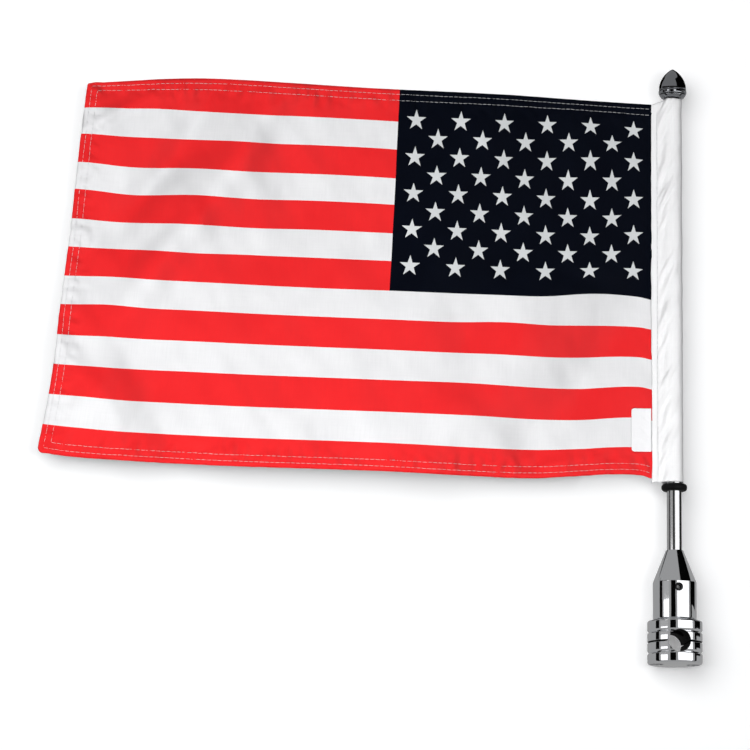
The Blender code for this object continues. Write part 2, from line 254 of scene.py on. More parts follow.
def woven(name, colour, shade, thread, depth, gloss=0.3, roughness=0.62, sheen=0.08):
    """Woven cloth: crossing threads, uneven slubs along them, and a slight sheen.

    thread is the pitch of the weave and depth its relief, in metres.
    """
    made = Finish(
        name,
        colour,
        roughness,
        Specular_IOR_Level=gloss,
        Sheen_Weight=sheen,
        Sheen_Roughness=0.45,
    )
    turns = UV_SPAN / thread * BAND
    warp = made.wave((turns, turns, 1), "X")
    weft = made.wave((turns, turns, 1), "Y")
    upright = made.noise((520, 26, 1), 0, 1, 3.0, "UV")
    across = made.noise((20, 430, 1), 0, 1, 2.0, "UV")
    cloud = made.noise((16, 16, 1), 0, 1, 3.0, "UV")
    slubs = made.mixed(upright, across, 0.65)
    tone = made.mixed(slubs, cloud, 0.5)
    made.tint(tone, shade, colour)
    made.feed("Roughness", made.ranged(slubs, (0, 1), roughness * 0.88, roughness * 1.12))
    made.bump(made.math("MAXIMUM", warp, weft), depth, 0.35)
    made.bump(slubs, depth * 1.2, 0.35)
    return made.material


CHROME = polished_metal("bright_chrome", (0.86, 0.87, 0.89), 0.035, 0.025)
SMOKED_CHROME = polished_metal("smoked_chrome", (0.34, 0.35, 0.37), 0.05, 0.03)
# painted shade: a near-black matt finish on the clamp's bore, its drilled holes and its split
# faces, standing for the shade inside them
PAINTED_SHADE = dull(
    "dark_bore",
    (0.010, 0.010, 0.011),
    ((0.006, 0.006, 0.007), (0.014, 0.014, 0.015)),
    (0.6, 0.9),
    1500,
    300,
    (0.00002, 0.4),
    roughness=0.75,
    Specular_IOR_Level=0.08,
)
STAINLESS = brushed_steel("brushed_stainless", (0.72, 0.72, 0.73), 0.10)
SCREW_STEEL = machined_steel("screw_steel", (0.30, 0.30, 0.31), 0.28)
BLACK_STEEL = machined_steel("blackened_steel", (0.025, 0.025, 0.027), 0.25)
# painted highlight: bright steel for the bright centre of the grip screw's key socket
PAINTED_HIGHLIGHT_STEEL = machined_steel("worn_steel", (0.80, 0.80, 0.80), 0.55)
THREADED = machined_steel("threaded_steel", (0.32, 0.32, 0.33), 0.30, pitch=0.00007896)
RUBBER = dull(
    "moulded_rubber",
    (0.006, 0.006, 0.007),
    ((0.004, 0.004, 0.005), (0.010, 0.010, 0.011)),
    (0.42, 0.7),
    1400,
    260,
    (0.00005, 0.5),
    roughness=0.6,
    Specular_IOR_Level=0.12,
)
CANVAS = woven(
    "white_canvas", (0.75, 0.75, 0.755), (0.66, 0.66, 0.67), 0.0007, 0.00007, roughness=0.8
)
LABEL = woven(
    "label_satin", (0.84, 0.84, 0.85), (0.78, 0.78, 0.80), 0.0004, 0.00003, gloss=0.4, roughness=0.5
)
THREAD = woven("sewing_thread", (0.70, 0.70, 0.71), (0.58, 0.58, 0.60), 0.0005, 0.00005, gloss=0.35)
PRINT_WEAVE = (0.00045, 0.00004)
RED = woven("flag_red", (0.75, 0.017, 0.019), (0.68, 0.011, 0.014), *PRINT_WEAVE)
WHITE = woven("flag_white", (0.74, 0.74, 0.75), (0.65, 0.65, 0.662), *PRINT_WEAVE)
NAVY = woven(
    "flag_navy",
    (0.0016, 0.0026, 0.0062),
    (0.0008, 0.0013, 0.0036),
    *PRINT_WEAVE,
    gloss=0.05,
    sheen=0.0,
)
STAR = woven("flag_star", (0.60, 0.62, 0.625), (0.52, 0.54, 0.55), *PRINT_WEAVE)
FLAG_FINISHES = (RED, WHITE, NAVY, STAR)


# ---------------------------------------------------------------- helpers
def added(name, data):
    """A new object of some data, in the scene."""
    made = bpy.data.objects.new(name, data)
    bpy.context.scene.collection.objects.link(made)
    return made


def mesh_object(name, vertices, faces, materials, smooth=True):
    mesh = bpy.data.meshes.new(name)
    mesh.from_pydata([tuple(v) for v in vertices], [], faces)
    mesh.update()
    for material in materials:
        mesh.materials.append(material)
    if smooth:
        mesh.shade_smooth()
    return added(name, mesh)


def grid(rows, columns, at):
    """The points and quads of a sheet. at gives a point from its row and column."""
    vertices = [at(r, c) for r in range(rows + 1) for c in range(columns + 1)]
    row = columns + 1
    faces = [
        [a, a + 1, a + row + 1, a + row]
        for a in (r * row + c for r in range(rows) for c in range(columns))
    ]
    return vertices, faces


def baked(piece):
    """Applies a piece's modifiers."""
    graph = bpy.context.evaluated_depsgraph_get()
    mesh = bpy.data.meshes.new_from_object(piece.evaluated_get(graph))
    piece.modifiers.clear()
    piece.data = mesh
    return piece


def thickened(piece, thickness):
    """Gives a sheet its thickness, half to each side."""
    thick = piece.modifiers.new("thickness", "SOLIDIFY")
    thick.thickness = thickness
    thick.offset = 0
    return baked(piece)


def unwrapped(piece, place):
    """Gives a piece its UVs. place says where a vertex is on the flat cloth, in metres."""
    layer = piece.data.uv_layers.new(name="cloth")
    for loop in piece.data.loops:
        across, up = place(loop.vertex_index)
        layer.data[loop.index].uv = (across / UV_SPAN, up / UV_SPAN)
    return piece


def sharpened(piece, degrees=28):
    """Smooth shading with sharp edges where two faces meet at more than an angle."""
    piece.data.shade_smooth()
    piece.data.set_sharp_from_angle(angle=math.radians(degrees))
    return piece


def ends(node):
    """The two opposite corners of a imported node's box."""
    return [Vector(corner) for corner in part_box(node)]


def stands_for(piece, node, body):
    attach(piece, body)
    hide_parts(node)
    return piece


# ---------------------------------------------------------------- turned pieces
FILLET_STEPS = 6


def rounded(corners):
    """The points of a profile of (radius, height, fillet) corners, with each fillet as an arc."""
    points = []
    for i, (r, z, fillet) in enumerate(corners):
        corner = Vector((r, z))
        if not fillet:
            points.append(corner)
            continue
        before = (Vector(corners[i - 1][:2]) - corner).normalized()
        after = (Vector(corners[(i + 1) % len(corners)][:2]) - corner).normalized()
        half = before.angle(after) / 2
        centre = corner + (before + after).normalized() * fillet / math.sin(half)
        start, end = (corner + side * fillet / math.tan(half) - centre for side in (before, after))
        first = math.atan2(start.y, start.x)
        sweep = math.remainder(math.atan2(end.y, end.x) - first, math.tau)
        for k in range(FILLET_STEPS + 1):
            angle = first + sweep * k / FILLET_STEPS
            points.append(centre + fillet * Vector((math.cos(angle), math.sin(angle))))
    return points


def turned(name, corners, foot, material, ring=False, steps=192):
    """A piece turned about the pole's axis, from a profile that runs down its outer side.

    The profile of a ring is closed, and that of a solid piece starts and ends on the axis.
    """
    points = rounded(corners)
    edges = [(i, i + 1) for i in range(len(points) - 1)]
    if ring:
        edges.append((len(points) - 1, 0))
    mesh = bpy.data.meshes.new(name)
    mesh.from_pydata([(p.x, 0, p.y + foot) for p in points], edges, [])
    made = added(name, mesh)
    screw = made.modifiers.new("turn", "SCREW")
    screw.steps = screw.render_steps = steps
    screw.use_merge_vertices = True
    screw.merge_threshold = 0.00001
    baked(made)
    made.data.materials.clear()
    made.data.materials.append(material)
    return made


def bored(piece, *cutters):
    """Cuts a piece with other shapes, which give the cut faces their own material."""
    for cutter in cutters:
        boolean = piece.modifiers.new(cutter.name, "BOOLEAN")
        boolean.operation = "DIFFERENCE"
        boolean.solver = "EXACT"
        boolean.material_mode = "TRANSFER"
        boolean.object = cutter
    baked(piece)
    for cutter in cutters:
        bpy.data.objects.remove(cutter)
    return piece


def rod(name, radius, start, end, material, sides=96):
    """A round cutter between two points."""
    axis = end - start
    shape = bmesh.new()
    bmesh.ops.create_cone(
        shape, cap_ends=True, segments=sides, radius1=radius, radius2=radius, depth=axis.length
    )
    turn = axis.to_track_quat("Z", "Y").to_matrix().to_4x4()
    shape.transform(Matrix.Translation((start + end) / 2) @ turn)
    mesh = bpy.data.meshes.new(name)
    shape.to_mesh(mesh)
    shape.free()
    mesh.materials.append(material)
    return added(name, mesh)


def as_packed(name, node, body, material, bevel=0.00012):
    """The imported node's own shape, its corners joined, its rounds smooth and its edges broken."""
    shape = bmesh.new()
    shape.from_mesh(bpy.data.objects[node].data)
    bmesh.ops.remove_doubles(shape, verts=shape.verts, dist=0.000002)
    bmesh.ops.dissolve_limit(
        shape, angle_limit=math.radians(1), verts=shape.verts, edges=shape.edges
    )
    shape.verts.ensure_lookup_table()
    vertices = [v.co.copy() for v in shape.verts]
    faces = [[v.index for v in f.verts] for f in shape.faces]
    shape.free()
    made = mesh_object(name, vertices, faces, [material])
    if bevel:
        edge = made.modifiers.new("edge", "BEVEL")
        edge.width = bevel
        edge.segments = 2
        edge.limit_method = "ANGLE"
        edge.angle_limit = math.radians(40)
        baked(made)
    sharpened(made)
    return stands_for(made, node, body)


def clamp_half(name, side):
    """One half of the clamp, above or below the split."""
    node = "clamp_head" if side > 0 else "clamp_cap"
    radius = ends(node)[1].x
    corners = [
        (0, CLAMP_HALF, 0),
        (radius, CLAMP_HALF, CLAMP_EDGE),
        (radius, GROOVE_HEIGHT + GROOVE_HALF, GROOVE_EDGE),
        (radius - GROOVE_DEPTH, GROOVE_HEIGHT, GROOVE_EDGE / 2),
        (radius, GROOVE_HEIGHT - GROOVE_HALF, GROOVE_EDGE),
        (radius, CLAMP_SPLIT / 2, GAP),
        (0, CLAMP_SPLIT / 2, 0),
    ]
    if side < 0:
        corners = [(r, -z, fillet) for r, z, fillet in reversed(corners)]
        corners[-2] = (radius, -CLAMP_HALF, CLAMP_FOOT_EDGE)
    half = turned(name, corners, 0, CHROME)
    reach = Vector((0, 2 * radius, 0))
    # the bore and the drilled holes are cut with the painted shade finish, dark for the shade
    # inside them
    tools = [rod(name + "_bore", TUBE_RADIUS, -reach, reach, PAINTED_SHADE, sides=160)]

    def drilled(word, hole, x, foot, top, material=PAINTED_SHADE):
        start, end = Vector((x, 0, foot)), Vector((x, 0, top))
        tools.append(rod(f"{name}_{word}", hole, start, end, material))

    past = 2 * CLAMP_HALF
    for word in ("left", "right"):
        low, high = ends(f"clamp_screw_{word}")
        x = (low.x + high.x) / 2
        head = (high.x - low.x) / 2 + GAP
        if side < 0:
            drilled(f"{word}_pocket", head, x, -past, SCREW_SEAT + GAP, CHROME)
        drilled(f"{word}_hole", SCREW_HOLE_RADIUS, x, -past, high.z + SCREW_RUNOUT)
    if side > 0:
        low, high = ends("socket_bolt")
        drilled("bolt_hole", BOLT_HOLE_RADIUS, 0, BOLT_HOLE_FOOT, past)
        drilled("bolt_seat", high.x + BOLT_CLEAR, 0, 0, low.z + BOLT_SEAT_RISE)
    bored(half, *tools)
    dark = half.data.materials.find(PAINTED_SHADE.name)
    for polygon in half.data.polygons:
        if abs(polygon.normal.z) > 0.9 and abs(polygon.center.z) < CLAMP_SPLIT:
            polygon.material_index = dark  # the faces that meet at the split get painted shade, for the dark gap between the halves
    return stands_for(sharpened(half), node, "mount" if side > 0 else "clamp_cap")


def turned_node(name, node, body, slot, material, profile, **settings):
    """A turned piece in a node's place. profile gives its corners from its radius and height."""
    low, high = ends(node)
    made = turned(name, profile(high.x, high.z - low.z), low.z, material, **settings)
    return stands_for(sharpened(made, 40 if material is RUBBER else 28), node, body)


def socket_profile(radius, tall):
    """A cylinder under a cone, bored from above for the pole and from below for its bolt."""
    hole = POLE_RADIUS + GAP
    return [
        (hole + SOCKET_LIP, tall, SOCKET_LIP_EDGE),
        (radius, SOCKET_CYLINDER, SOCKET_SHOULDER),
        (radius, 0, SOCKET_FOOT_EDGE),
        (SOCKET_TAP_RADIUS, 0, 0),
        (SOCKET_TAP_RADIUS, SOCKET_FLOOR, 0),
        (hole, SOCKET_FLOOR, 0),
        (hole, tall, SOCKET_LIP_EDGE),
    ]


def finial_profile(radius, tall):
    """The pointed cap: a dome drawn to a point, over a groove and a bead."""
    foot = BEAD_HEIGHT + BEAD_GROOVE
    neck = FINIAL_RADIUS - BEAD_GROOVE / 2
    count = 28
    angles = [math.pi / 2 * k / count for k in range(count + 1)]
    dome = [
        (FINIAL_RADIUS * math.sin(a) ** FINIAL_POINT, foot + (tall - foot) * math.cos(a), 0)
        for a in angles
    ]
    return [
        *dome,
        (neck, foot - BEAD_GROOVE / 2, BEAD_GROOVE_EDGE),
        (neck, BEAD_HEIGHT, BEAD_GROOVE_EDGE),
        (BEAD_RADIUS - 0.0001, BEAD_HEIGHT, BEAD_HEIGHT * 0.36),
        (BEAD_RADIUS - 0.0003, 0, BEAD_HEIGHT * 0.18),
        (FINIAL_TAP_RADIUS, 0, 0),
        (FINIAL_TAP_RADIUS, FINIAL_TAP_DEPTH, 0),
        (0, FINIAL_TAP_DEPTH, 0),
    ]


def washer_profile(radius, tall):
    """A washer that narrows downwards with a round side."""
    return [
        (FINIAL_TAP_RADIUS, tall, 0),
        (radius, tall, tall * 0.12),
        (radius - WASHER_TAPER, 0, tall * 0.75),
        (FINIAL_TAP_RADIUS, 0, 0),
    ]


def pole_profile(radius, tall):
    """A rod with both ends chamfered, tapped at its top for the finial's stud."""
    return [
        (0, tall - POLE_TAP_DEPTH, 0),
        (POLE_TAP_RADIUS, tall - POLE_TAP_DEPTH, 0),
        (POLE_TAP_RADIUS, tall, 0),
        (radius, tall, POLE_CHAMFER),
        (radius, 0, POLE_CHAMFER),
        (0, 0, 0),
    ]


def ring_profile(radius, tall):
    """A ring with a bulging side."""
    inner = POLE_RADIUS + GAP
    bulge = radius - inner - RING_FLAT
    turns = [math.radians(90 - 15 * k) for k in range(1, 12)]
    side = [
        (inner + RING_FLAT + bulge * math.cos(a) ** 0.7, tall / 2 * (1 + math.sin(a)), 0)
        for a in turns
    ]
    return [(inner, tall, 0.0002), *side, (inner, 0, 0.0002)]


def drill_for_set_screw():
    near, far = ends("set_screw")
    height = (near.z + far.z) / 2
    start = Vector((0, -4 * far.x - 4 * POLE_RADIUS, height))
    hole = (far.x - near.x) / 2 + GAP
    # the hole is cut with the painted shade finish, dark for the shade round the screw
    return rod("set_screw_hole", hole, start, Vector((0, 0, height)), PAINTED_SHADE, sides=64)


clamp_half("clamp_upper", 1)
clamp_half("clamp_lower", -1)
shell_of_socket = turned_node(
    "socket_shell", "pole_socket", "mount", "chrome", CHROME, socket_profile, ring=True
)
sharpened(bored(shell_of_socket, drill_for_set_screw()))
turned_node("finial_cap", "finial", "finial", "dark_chrome", SMOKED_CHROME, finial_profile)
turned_node(
    "finial_foot",
    "finial_washer",
    "finial_washer",
    "dark_chrome",
    SMOKED_CHROME,
    washer_profile,
    ring=True,
)
turned_node("pole_rod", "pole", "pole", "stainless", STAINLESS, pole_profile, steps=128)
turned_node(
    "ring_of_rubber", "rubber_ring", "ring", "rubber", RUBBER, ring_profile, ring=True, steps=96
)
for word in ("left", "right"):
    screw = f"clamp_screw_{word}"
    as_packed(f"screw_{word}", screw, screw, SCREW_STEEL)
as_packed("bolt_in_clamp", "socket_bolt", "mount", SCREW_STEEL)
grip = as_packed("grip_screw", "set_screw", "set_screw", BLACK_STEEL)
grip.data.materials.append(PAINTED_HIGHLIGHT_STEEL)
sunk = ends("set_screw")[0].y + 0.0015
for polygon in grip.data.polygons:
    if polygon.normal.y < -0.7 and polygon.center.y > sunk:
        polygon.material_index = 1  # the floor of its key socket, made bright steel as a painted highlight at the screw's centre
as_packed("stud_in_finial", "finial_stud", "finial", THREADED, bevel=0)


# ---------------------------------------------------------------- the flag's hang
PANEL = ends("flag_panel")
HOIST_X = PANEL[1].x
FOOT_Z = PANEL[0].z

# heights of the cloth's two long edges over its lowest point in millimetres, at shares of the fly
UPPER_EDGE = ((0, 244.8), (0.12, 245.9), (0.26, 247.6), (0.50, 248.4), (0.65, 249.7), (0.78, 250.5),
              (0.865, 249.0), (0.93, 246.7), (1, 244.2))
LOWER_EDGE = ((0, -0.2), (0.02, 1.8), (0.07, 1.7), (0.12, 0.1), (0.20, -2.2), (0.30, -1.9),
              (0.45, -0.4), (0.70, 0.1), (0.86, 1.6), (0.95, 3.2), (1, 5.6))
# how much longer than a straight fly the fly edge reaches in millimetres, at shares of its height
FLY_EDGE = ((0, -0.5), (0.20, -0.8), (0.42, -1.6), (0.62, -0.9), (0.80, -1.1), (0.93, 0.5),
            (1, 1.7))
SWAY_START = 12.0  # from the long edges, over which the sways fade in
# sways of the cloth in its own plane: centre, reach along and down, and rise, in flat millimetres
SWAYS = (
    (392, 45, 30, 62, 4.6),
    (288, 36, 46, 24, -1.8),
    (272, 84, 34, 24, -1.4),
    (240, 130, 80, 20, -0.9),
    (33, 124, 30, 12, 2.7),
    (96, 152, 28, 17, 1.9),
    (44, 198, 26, 30, -1.9),
    (122, 196, 34, 22, 0.9),
    (24, 40, 42, 16, 3.3),
    (6, 82, 17, 34, 2.4),
    (348, 24, 28, 16, 1.6),
    (345, 76, 24, 20, -1.2),
    (362, 148, 22, 26, 2.0),
    (370, 212, 20, 26, 1.3),
    (306, 112, 22, 16, -1.0),
    (285, 38, 22, 10, 0.9),
    (48, 138, 22, 16, 1.0),
    (50, 20, 28, 16, 1.7),
    (160, 48, 22, 36, -0.8),
)
# folds: start and end, half width, and depth towards the front, in flat millimetres
FOLDS = (
    (262, 0, 352, 168, 15, 8.75),
    (300, 0, 372, 120, 11, -5.75),
    (8, 128, 96, 252, 19, -6.25),
    (60, 110, 150, 252, 24, 5.0),
    (352, 150, 300, 252, 20, -5.0),
    (392, 176, 330, 252, 14, 5.75),
    (200, 0, 262, 130, 24, -4.25),
    (120, 0, 176, 252, 30, 4.0),
    (392, 38, 350, 18, 4.5, 3.75),
    (350, 118, 318, 92, 8, -2.5),
    (372, 122, 352, 88, 5, 2.0),
    (344, 72, 300, 48, 9, -2.25),
    (380, 236, 352, 196, 7, 2.25),
    (344, 240, 316, 200, 8, -2.0),
    (150, 196, 96, 236, 12, 2.25),
    (26, 126, 60, 112, 6, -1.5),
)
BILLOW = 8.0  # how far the middle of the upper edge comes forward
# what a point of the upper edge rises for each millimetre it stands back, and of the lower edge,
# so that a fold changes the light and not the line of a stripe, seen from below
UPPER_LEAN, LOWER_LEAN = 0.249, 0.160


def through(stations, share):
    """A smooth curve through (share, value) stations."""
    share = min(max(share, 0), 1)
    last = len(stations) - 1
    index = max(i for i in range(last) if stations[i][0] <= share)
    (a, first), (b, second) = stations[index], stations[index + 1]
    before, after = stations[max(index - 1, 0)], stations[min(index + 2, last)]
    slope = (second - before[1]) / (b - before[0]) if index else (second - first) / (b - a)
    leave = (after[1] - first) / (after[0] - a)
    t = (share - a) / (b - a)
    span = b - a
    return (
        (1 + 2 * t) * (1 - t) ** 2 * first
        + t * (1 - t) ** 2 * span * slope
        + t * t * (3 - 2 * t) * second
        + t * t * (t - 1) * span * leave
    )


def wrinkle(x, y, size, seed):
    """A smooth unevenness of about the given size, from -1 to 1."""
    return noise.noise(Vector((x / size, y / size, seed)))


def hump(distance, half):
    """1 at no distance, fading to nothing over a few half widths."""
    return math.exp(-((distance / half) ** 2))


def depth(x, y):
    """How far a flat point of the cloth stands behind the pole's plane, in millimetres."""
    u, q = x / CLOTH_LONG, y / CLOTH_TALL
    back = -BILLOW * math.sin(math.pi * min(max(u, 0), 1)) * (1 - 0.6 * q)
    for x0, y0, x1, y1, half, rise in FOLDS:
        length = math.hypot(x1 - x0, y1 - y0)
        along = ((x - x0) * (x1 - x0) + (y - y0) * (y1 - y0)) / length
        aside = ((x - x0) * (y1 - y0) - (y - y0) * (x1 - x0)) / length
        fade = 1 / (1 + math.exp(-min(along, length - along) / 14))
        back -= rise * fade * hump(aside + 4 * math.sin(along / 31), half)
    loose = min(1, max(x, 0) / 60)
    slack = loose * (0.35 + 0.65 * u * u)
    back += 3.0 * loose * wrinkle(x + 0.4 * y, 0.45 * y - 0.25 * x, 42, 3.1)
    back += 2.9 * slack * wrinkle(0.8 * x + 0.6 * y, 0.35 * y - 0.3 * x, 15, 8.7)
    back += 0.22 * wrinkle(x, 0.55 * y, 6.5, 5.9)
    # stitching draws the hems into short puckers
    for distance, run, seed in ((y, x, 1.3), (CLOTH_TALL - y, x, 2.6), (CLOTH_LONG - x, y, 4.2)):
        near = hump(distance - 7.5, 6.5)
        if near > 0.01:
            back += near * 2.1 * wrinkle(run, distance * 0.8, 4.6, seed)
            back += near * 0.46 * math.sin(run / 1.3 + 3 * wrinkle(run, 0, 22, seed))
    # and the sewn hoist does the same to the cloth beside the sleeve
    back += hump(x, 9) * 0.5 * wrinkle(0.5 * x, y + 0.6 * x, 5.5, 7.7)
    return back


def settle(x, y):
    """Where a flat point of the cloth hangs."""
    u, q = x / CLOTH_LONG, y / CLOTH_TALL
    fly = FLY_TOP + (FLY - FLY_TOP) * q + through(FLY_EDGE, q) * MM
    upper, lower = through(UPPER_EDGE, u), through(LOWER_EDGE, u)
    sway = sum(rise * hump(x - cx, rx) * hump(y - cy, ry) for cx, cy, rx, ry, rise in SWAYS)
    for distance in (y, CLOTH_TALL - y):
        sway *= min(1, max(0, distance) / SWAY_START)
    back = depth(x, y)
    lean = UPPER_LEAN + (LOWER_LEAN - UPPER_LEAN) * q
    height = upper + (lower - upper) * q + sway + lean * back
    return Vector((HOIST_X - fly * u, back * MM, FOOT_Z + height * MM))


def drape(x, y, lift=0.0):
    """Where a flat point hangs. lift moves it off the cloth towards the front, in metres."""
    point = settle(x, y)
    if lift:
        along = settle(x + 0.4, y) - point
        down = settle(x, y + 0.4) - point
        point = point + along.cross(down).normalized() * lift
    return point


def star_points(cx, cy):
    """The ten corners of a star with one point up."""
    inner = STAR_RADIUS * math.sin(math.radians(18)) / math.sin(math.radians(126))
    corners = []
    for k in range(10):
        reach, angle = (inner if k % 2 else STAR_RADIUS), math.pi * k / 5
        corners.append((cx + reach * math.sin(angle), cy - reach * math.cos(angle)))
    return corners


def star_centres():
    for row in range(STAR_ROWS):
        for column in range(STAR_COLUMNS):
            if (row + column) % 2 == 0:
                yield STAR_FIRST[0] + STAR_PITCH[0] * column, STAR_FIRST[1] + STAR_PITCH[1] * row


def in_canton(x, y):
    return x < CANTON_LONG and y < CANTON_TALL


def inside(point, outline):
    """Whether a point is inside an outline: a line from it crosses the outline an odd time."""
    hits = False
    x, y = point
    for (x0, y0), (x1, y1) in zip(outline, outline[1:] + outline[:1]):
        if (y0 > y) != (y1 > y) and x < x0 + (y - y0) / (y1 - y0) * (x1 - x0):
            hits = not hits
    return hits


def spaced(start, end):
    """Even stations from start to end, about MESH_STEP apart."""
    count = max(1, round(abs(end - start) / MESH_STEP))
    return [start + (end - start) * k / count for k in range(count + 1)]


TUCKED = -1.8  # how far the hoist runs in between the sleeve's layers


def face_centre(flat, face):
    return [sum(flat[i][axis] for i in face) / len(face) for axis in (0, 1)]


def outline_of_cloth():
    """The cloth's edge, round from the upper hoist corner by the fly."""
    long, tall, high, low = CLOTH_LONG, CLOTH_TALL, UPPER_CORNER, LOWER_CORNER
    arc = [math.radians(a) for a in range(15, 91, 15)]
    edge = [(x, 0.0) for x in spaced(TUCKED, long - high)]
    edge += [(long - high * (1 - math.sin(a)), high * (1 - math.cos(a))) for a in arc]
    edge += [(long, y) for y in spaced(high, tall - low)[1:]]
    edge += [(long - low * (1 - math.cos(a)), tall - low * (1 - math.sin(a))) for a in arc]
    edge += [(x, tall) for x in spaced(long - low, TUCKED)[1:]]
    edge += [(TUCKED, y) for y in spaced(tall, 0)[1:-1]]
    return edge


def flat_cloth():
    """The printed cloth laid flat: its points, its triangles, and the colour of each."""
    points, edges = [], []

    def line(path, closed=False):
        first = len(points)
        points.extend(path)
        edges.extend((i, i + 1) for i in range(first, len(points) - 1))
        if closed:
            edges.append((len(points) - 1, first))
        return list(range(first, len(points)))

    border = line(outline_of_cloth(), closed=True)
    levels = []
    y = 0.0
    for tall in STRIPES[:-1]:
        y += tall
        levels.append(y)
        start = CANTON_LONG if y < CANTON_TALL else TUCKED
        line([(x, y) for x in spaced(start, CLOTH_LONG)])
    line([(CANTON_LONG, y) for y in spaced(0, CANTON_TALL)])
    for y in (HEM, CLOTH_TALL - HEM):
        line([(x, y) for x in spaced(TUCKED, CLOTH_LONG)])
        levels.append(y)
    line([(CLOTH_LONG - FLY_HEM, y) for y in spaced(0, CLOTH_TALL)])
    centres = list(star_centres())
    stars = [star_points(cx, cy) for cx, cy in centres]
    for star in stars:
        line(star, closed=True)

    # loose points between those lines, and a ring of them round each star
    upright = (CANTON_LONG, CLOTH_LONG - FLY_HEM)
    for y in spaced(MESH_STEP, CLOTH_TALL - MESH_STEP):
        if min(abs(y - level) for level in levels) < MESH_CLEAR:
            continue
        for x in spaced(TUCKED + MESH_STEP, CLOTH_LONG - MESH_STEP):
            if min(abs(x - other) for other in upright) < MESH_CLEAR:
                continue
            if in_canton(x, y) and any(
                math.hypot(x - cx, y - cy) < STAR_RADIUS + 0.8 for cx, cy in centres
            ):
                continue
            points.append((x, y))
    for cx, cy in centres:
        points.append((cx, cy))
        for k in range(20):
            angle = math.tau * (k + 0.5) / 20
            reach = STAR_RADIUS + 0.9
            points.append((cx + reach * math.sin(angle), cy + reach * math.cos(angle)))

    found = delaunay_2d_cdt([Vector(p) for p in points], edges, [border], 1, 0.0005, False)
    flat = [(p.x, p.y) for p in found[0]]
    triangles = [list(f) for f in found[2]]
    tops = [sum(STRIPES[:k]) for k in range(len(STRIPES))]
    colours = []
    for face in triangles:
        x, y = face_centre(flat, face)
        if in_canton(x, y):
            starry = any(
                math.hypot(x - cx, y - cy) < STAR_RADIUS and inside((x, y), star)
                for (cx, cy), star in zip(centres, stars)
            )
            colours.append(3 if starry else 2)
        else:
            colours.append(max(k for k, top in enumerate(tops) if top <= max(y, 0)) % 2)
    return flat, triangles, colours


def facing_front(vertices, faces):
    """Turns every face so that its front is towards the camera's side, -Y."""
    for face in faces:
        a, b, c = (vertices[i] for i in face[:3])
        if (b - a).cross(c - a).y > 0:
            face.reverse()


def cloth_piece(name, flat, faces, colours, materials, lift):
    """A piece of the printed cloth on the hanging surface, with its flat place as its UVs."""
    used = sorted({i for face in faces for i in face})
    index = {old: new for new, old in enumerate(used)}
    vertices = [drape(*flat[i], lift) for i in used]
    faces = [[index[i] for i in face] for face in faces]
    facing_front(vertices, faces)
    made = mesh_object(name, vertices, faces, materials)
    for polygon, colour in zip(made.data.polygons, colours):
        polygon.material_index = colour
    unwrapped(made, lambda i: (flat[used[i]][0] * MM, UV_SPAN - flat[used[i]][1] * MM))
    return thickened(made, CLOTH)


def flag_cloth():
    """The flag, and the cloth of its hems turned in behind it."""
    flat, faces, colours = flat_cloth()
    cloth = cloth_piece("flag_cloth", flat, faces, colours, FLAG_FINISHES, 0.0)
    stands_for(cloth, "flag_panel", "flag")

    turned_in, turned_colours = [], []
    for face, colour in zip(faces, colours):
        x, y = face_centre(flat, face)
        if x > 0 and (y < HEM or y > CLOTH_TALL - HEM or x > CLOTH_LONG - FLY_HEM):
            turned_in.append(face)
            turned_colours.append(colour)
    behind = -(CLOTH + 0.0001)
    hem = cloth_piece("flag_hem", flat, turned_in, turned_colours, FLAG_FINISHES, behind)
    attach(hem, "flag")
    return cloth, hem


# ---------------------------------------------------------------- stitching
# a stitch's rings: share of its length, of its width, and how far its top is above the cloth
STITCH_RINGS = (
    (0.0, 0.25, -0.4), (0.16, 0.85, 0.5), (0.5, 1.0, 1.0), (0.84, 0.85, 0.5), (1.0, 0.25, -0.4)
)
STITCH_SUNK = 0.4  # of its height in the cloth
STITCH_ENDS = (0.06, 0.94)  # of the pitch, between which its thread shows
HEM_THREAD = 0.22 * MM
SEAM_THREAD = 0.50 * MM
STITCH_HEIGHT = 0.12 * MM


def stitch(vertices, faces, start, end, normal, width):
    """A short run of thread lying on the cloth, lowest at its two ends."""
    along = end - start
    side = along.cross(normal).normalized() * width / 2
    first = len(vertices)
    for share, wide, tall in STITCH_RINGS:
        centre = start + along * share
        foot, top = normal * STITCH_HEIGHT * -STITCH_SUNK, normal * STITCH_HEIGHT * tall
        for out, height in ((-1, foot), (-0.6, top), (0.6, top), (1, foot)):
            vertices.append(centre + side * wide * out + height)
    last = first + 4 * (len(STITCH_RINGS) - 1)
    for a in range(first, last, 4):
        for i in range(4):
            j = (i + 1) % 4
            faces.append([a + i, a + j, a + 4 + j, a + 4 + i])
    faces.append([first, first + 3, first + 2, first + 1])
    faces.append([last, last + 1, last + 2, last + 3])


